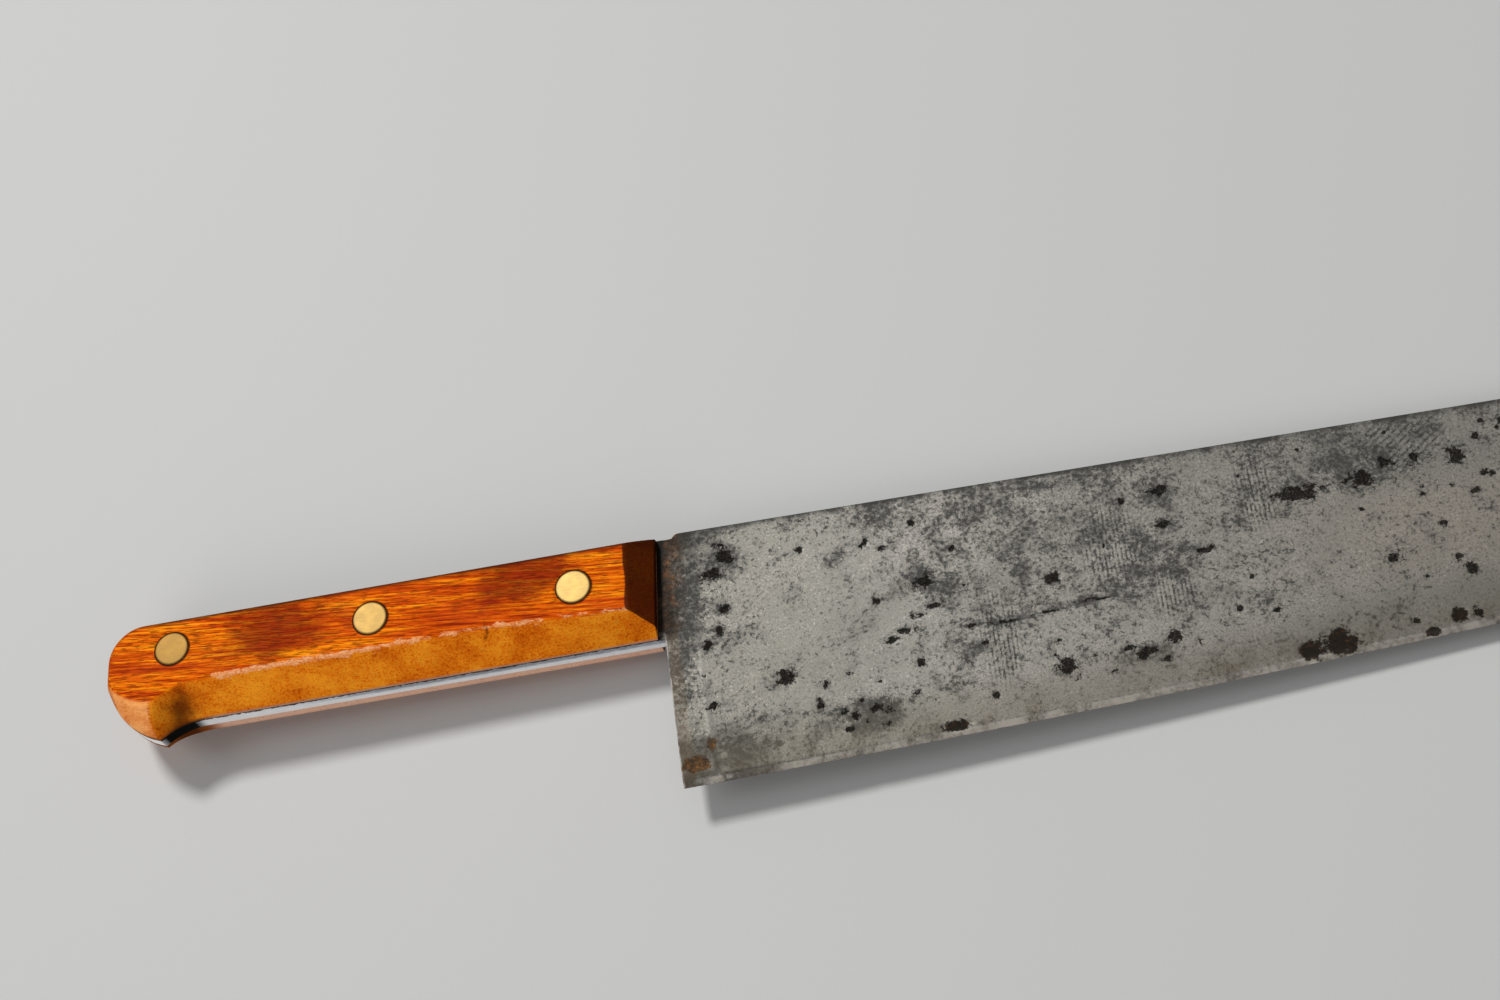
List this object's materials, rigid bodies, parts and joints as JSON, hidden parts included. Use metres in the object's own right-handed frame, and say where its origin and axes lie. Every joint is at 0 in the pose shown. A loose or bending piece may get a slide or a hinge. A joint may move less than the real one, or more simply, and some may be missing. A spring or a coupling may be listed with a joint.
{
  "type": "meat cleaver",
  "caption": "Long butcher's cleaver with a tall straight-spined blade, a blunt rounded nose and a full tang between bevelled, beaked wooden scales held by flush rivets.",
  "frame": {"origin": "middle of the footprint, in the plane of the left scale's flat outer face, with the knife lying on its left side", "axes": "+X along the blade's spine towards the nose, +Y from the cutting edge towards the spine, +Z out of the knife's right side"},
  "size_m": [0.3884, 0.0618, 0.018],
  "materials": {
    "blade_steel": "satin",
    "handle_wood": "satin",
    "rivet_brass": "satin"
  },
  "bodies": {
    "root": {"blade_with_tang": "blade_steel", "right_scale": "handle_wood", "left_scale": "handle_wood", "rear_rivet_socket": "rivet_brass", "middle_rivet_socket": "rivet_brass", "front_rivet_socket": "rivet_brass", "rear_rivet_stud": "rivet_brass", "middle_rivet_stud": "rivet_brass", "front_rivet_stud": "rivet_brass"}
  },
  "joints": []
}
